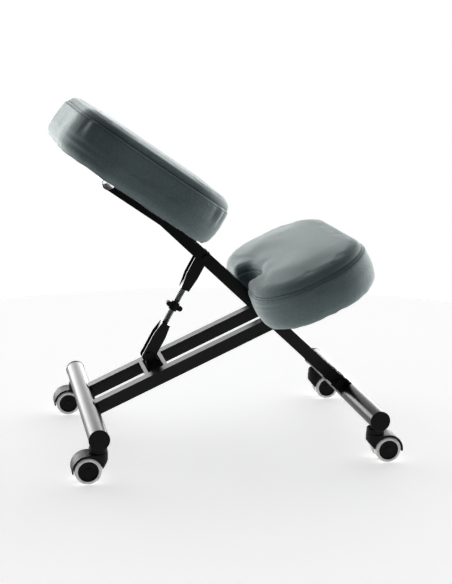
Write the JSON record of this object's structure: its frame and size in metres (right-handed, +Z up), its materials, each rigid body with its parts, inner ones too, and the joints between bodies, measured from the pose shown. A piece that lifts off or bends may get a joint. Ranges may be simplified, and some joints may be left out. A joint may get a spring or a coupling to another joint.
{
  "type": "kneeling chair",
  "caption": "Kneeling chair with a sloping padded seat, a notched knee pad, crossing steel tube frames, an adjusting screw strut and swivel casters.",
  "frame": {"origin": "on the floor, midway between the two crossbars and in the middle plane", "axes": "+X forward from the seat towards the knee pad, +Y to the sitter's left, +Z up"},
  "size_m": [0.6364, 0.462, 0.6781],
  "materials": {
    "black_paint": "semi-gloss black powder coat",
    "grey_fabric": "dark grey-green upholstery weave, matte",
    "plywood": "raw birch plywood",
    "black_lining": "black non-woven lining",
    "grey_tread": "light grey soft tread",
    "black_plastic": "black moulded nylon, low gloss",
    "black_nylon": "black nylon, matte",
    "plated_rod": "bright nickel plate on a threaded rod",
    "zinc_steel": "bright zinc plate"
  },
  "bodies": {
    "base_frame": {"rear_crossbar": "black_paint", "rear_end_caps": "black_plastic", "rear_stem_sockets": "black_nylon", "side_beam_left": "black_paint", "side_beam_right": "black_paint", "side_beam_plugs": "black_plastic", "saddle_bars": "black_paint", "strut_lug": "black_paint", "frame_pivot_bolt": "zinc_steel", "frame_pivot_washers": "black_nylon", "lower_pivot_bolt": "zinc_steel", "knee_board": "plywood", "knee_under_cover": "black_lining", "knee_screws": "zinc_steel", "knee_cushion": "grey_fabric"},
    "main_frame": {"front_crossbar": "black_paint", "front_end_caps": "black_plastic", "front_stem_sockets": "black_nylon", "leg_sockets": "black_paint", "socket_bolt": "zinc_steel", "main_leg_left": "black_paint", "main_leg_right": "black_paint", "frame_pivot_spacer": "zinc_steel", "upper_pivot_bolt": "zinc_steel", "top_cross_tube": "black_paint", "seat_mount_plate": "black_paint", "seat_under_cover": "black_lining", "seat_board": "plywood", "seat_screws": "zinc_steel", "seat_cushion": "grey_fabric"},
    "strut_lower": {"lower_fitting": "black_paint", "lower_nut": "black_paint"},
    "spindle": {"threaded_rod": "plated_rod"},
    "hand_knob": {"knob": "black_plastic"},
    "strut_upper": {"upper_fitting": "black_paint", "upper_nut": "black_paint"},
    "caster_rear_left": {"caster_rear_left_hood": "black_plastic", "caster_rear_left_pins": "zinc_steel"},
    "caster_rear_left_wheel_a": {"caster_rear_left_hub_a": "black_plastic", "caster_rear_left_tyre_a": "grey_tread"},
    "caster_rear_left_wheel_b": {"caster_rear_left_hub_b": "black_plastic", "caster_rear_left_tyre_b": "grey_tread"},
    "caster_rear_right": {"caster_rear_right_hood": "black_plastic", "caster_rear_right_pins": "zinc_steel"},
    "caster_rear_right_wheel_a": {"caster_rear_right_hub_a": "black_plastic", "caster_rear_right_tyre_a": "grey_tread"},
    "caster_rear_right_wheel_b": {"caster_rear_right_hub_b": "black_plastic", "caster_rear_right_tyre_b": "grey_tread"},
    "caster_front_left": {"caster_front_left_hood": "black_plastic", "caster_front_left_pins": "zinc_steel"},
    "caster_front_left_wheel_a": {"caster_front_left_hub_a": "black_plastic", "caster_front_left_tyre_a": "grey_tread"},
    "caster_front_left_wheel_b": {"caster_front_left_hub_b": "black_plastic", "caster_front_left_tyre_b": "grey_tread"},
    "caster_front_right": {"caster_front_right_hood": "black_plastic", "caster_front_right_pins": "zinc_steel"},
    "caster_front_right_wheel_a": {"caster_front_right_hub_a": "black_plastic", "caster_front_right_tyre_a": "grey_tread"},
    "caster_front_right_wheel_b": {"caster_front_right_hub_b": "black_plastic", "caster_front_right_tyre_b": "grey_tread"}
  },
  "joints": [
    {"name": "frame_fold", "type": "hinge", "parent": "base_frame", "child": "main_frame", "pos_m": [0.09822, 0, 0.24762], "axis": [0, 1, 0], "range_deg": [-12, 5]},
    {"name": "strut_swing", "type": "hinge", "parent": "base_frame", "child": "strut_lower", "pos_m": [-0.14188, 0, 0.17843], "axis": [0, 1, 0], "range_deg": [-2.25, 1]},
    {"name": "spindle_slide", "type": "slide", "parent": "strut_lower", "child": "spindle", "axis": [0.4838, 0, 0.8752], "range_m": [-0.019, 0.0081]},
    {"name": "knob_spin", "type": "hinge", "parent": "spindle", "child": "hand_knob", "pos_m": [-0.08925, 0, 0.27366], "axis": [0.4838, 0, 0.8752], "range_deg": [-807, 1929]},
    {"name": "strut_extend", "type": "slide", "parent": "strut_lower", "child": "strut_upper", "axis": [0.4838, 0, 0.8752], "range_m": [-0.0377, 0.0159]},
    {"name": "caster_rear_left_swivel", "type": "hinge", "parent": "base_frame", "child": "caster_rear_left", "pos_m": [-0.2667, 0.203, 0.06], "axis": [0, 0, 1], "continuous": true},
    {"name": "caster_rear_left_roll_a", "type": "hinge", "parent": "caster_rear_left", "child": "caster_rear_left_wheel_a", "pos_m": [-0.2872, 0.203, 0.025], "axis": [0, 1, 0], "continuous": true},
    {"name": "caster_rear_left_roll_b", "type": "hinge", "parent": "caster_rear_left", "child": "caster_rear_left_wheel_b", "pos_m": [-0.2872, 0.203, 0.025], "axis": [0, 1, 0], "continuous": true},
    {"name": "caster_rear_right_swivel", "type": "hinge", "parent": "base_frame", "child": "caster_rear_right", "pos_m": [-0.2667, -0.203, 0.06], "axis": [0, 0, 1], "continuous": true},
    {"name": "caster_rear_right_roll_a", "type": "hinge", "parent": "caster_rear_right", "child": "caster_rear_right_wheel_a", "pos_m": [-0.2872, -0.203, 0.025], "axis": [0, 1, 0], "continuous": true},
    {"name": "caster_rear_right_roll_b", "type": "hinge", "parent": "caster_rear_right", "child": "caster_rear_right_wheel_b", "pos_m": [-0.2872, -0.203, 0.025], "axis": [0, 1, 0], "continuous": true},
    {"name": "caster_front_left_swivel", "type": "hinge", "parent": "main_frame", "child": "caster_front_left", "pos_m": [0.2667, 0.203, 0.06], "axis": [0, 0, 1], "continuous": true},
    {"name": "caster_front_left_roll_a", "type": "hinge", "parent": "caster_front_left", "child": "caster_front_left_wheel_a", "pos_m": [0.2872, 0.203, 0.025], "axis": [0, 1, 0], "continuous": true},
    {"name": "caster_front_left_roll_b", "type": "hinge", "parent": "caster_front_left", "child": "caster_front_left_wheel_b", "pos_m": [0.2872, 0.203, 0.025], "axis": [0, 1, 0], "continuous": true},
    {"name": "caster_front_right_swivel", "type": "hinge", "parent": "main_frame", "child": "caster_front_right", "pos_m": [0.2667, -0.203, 0.06], "axis": [0, 0, 1], "continuous": true},
    {"name": "caster_front_right_roll_a", "type": "hinge", "parent": "caster_front_right", "child": "caster_front_right_wheel_a", "pos_m": [0.2872, -0.203, 0.025], "axis": [0, 1, 0], "continuous": true},
    {"name": "caster_front_right_roll_b", "type": "hinge", "parent": "caster_front_right", "child": "caster_front_right_wheel_b", "pos_m": [0.2872, -0.203, 0.025], "axis": [0, 1, 0], "continuous": true}
  ],
  "couplings": [
    {"joint": "strut_swing", "follows": "frame_fold", "ratio": 0.17956},
    {"joint": "spindle_slide", "follows": "frame_fold", "m_per_rad": 0.08932},
    {"joint": "knob_spin", "follows": "frame_fold", "ratio": -160.35},
    {"joint": "strut_extend", "follows": "frame_fold", "m_per_rad": 0.17864}
  ]
}
